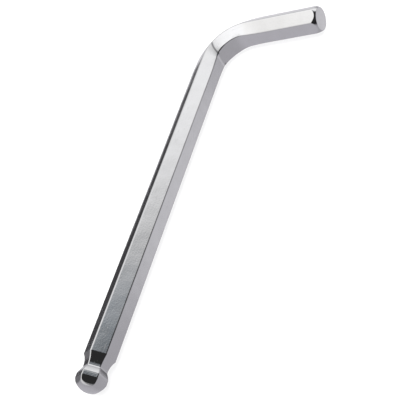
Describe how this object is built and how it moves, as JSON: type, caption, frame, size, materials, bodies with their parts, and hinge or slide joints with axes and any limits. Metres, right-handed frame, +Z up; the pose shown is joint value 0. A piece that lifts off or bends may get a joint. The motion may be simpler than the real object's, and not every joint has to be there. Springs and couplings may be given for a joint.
{
  "type": "hex key",
  "caption": "L-shaped hex key of hexagonal steel bar, with a chamfered flat end on the short arm and a ball end on the long arm.",
  "frame": {"origin": "middle of the outline on the surface that the key lies on", "axes": "+Z up, away from the surface that the key lies on; the long arm runs along Y, its ball end at the low end of Y; the short arm runs along +X from the high end of Y to its end face"},
  "size_m": [0.052, 0.17, 0.0113],
  "materials": {
    "steel": "bright chrome plate over polished steel bar"
  },
  "bodies": {
    "root": {"hex_key": "steel"}
  },
  "joints": []
}
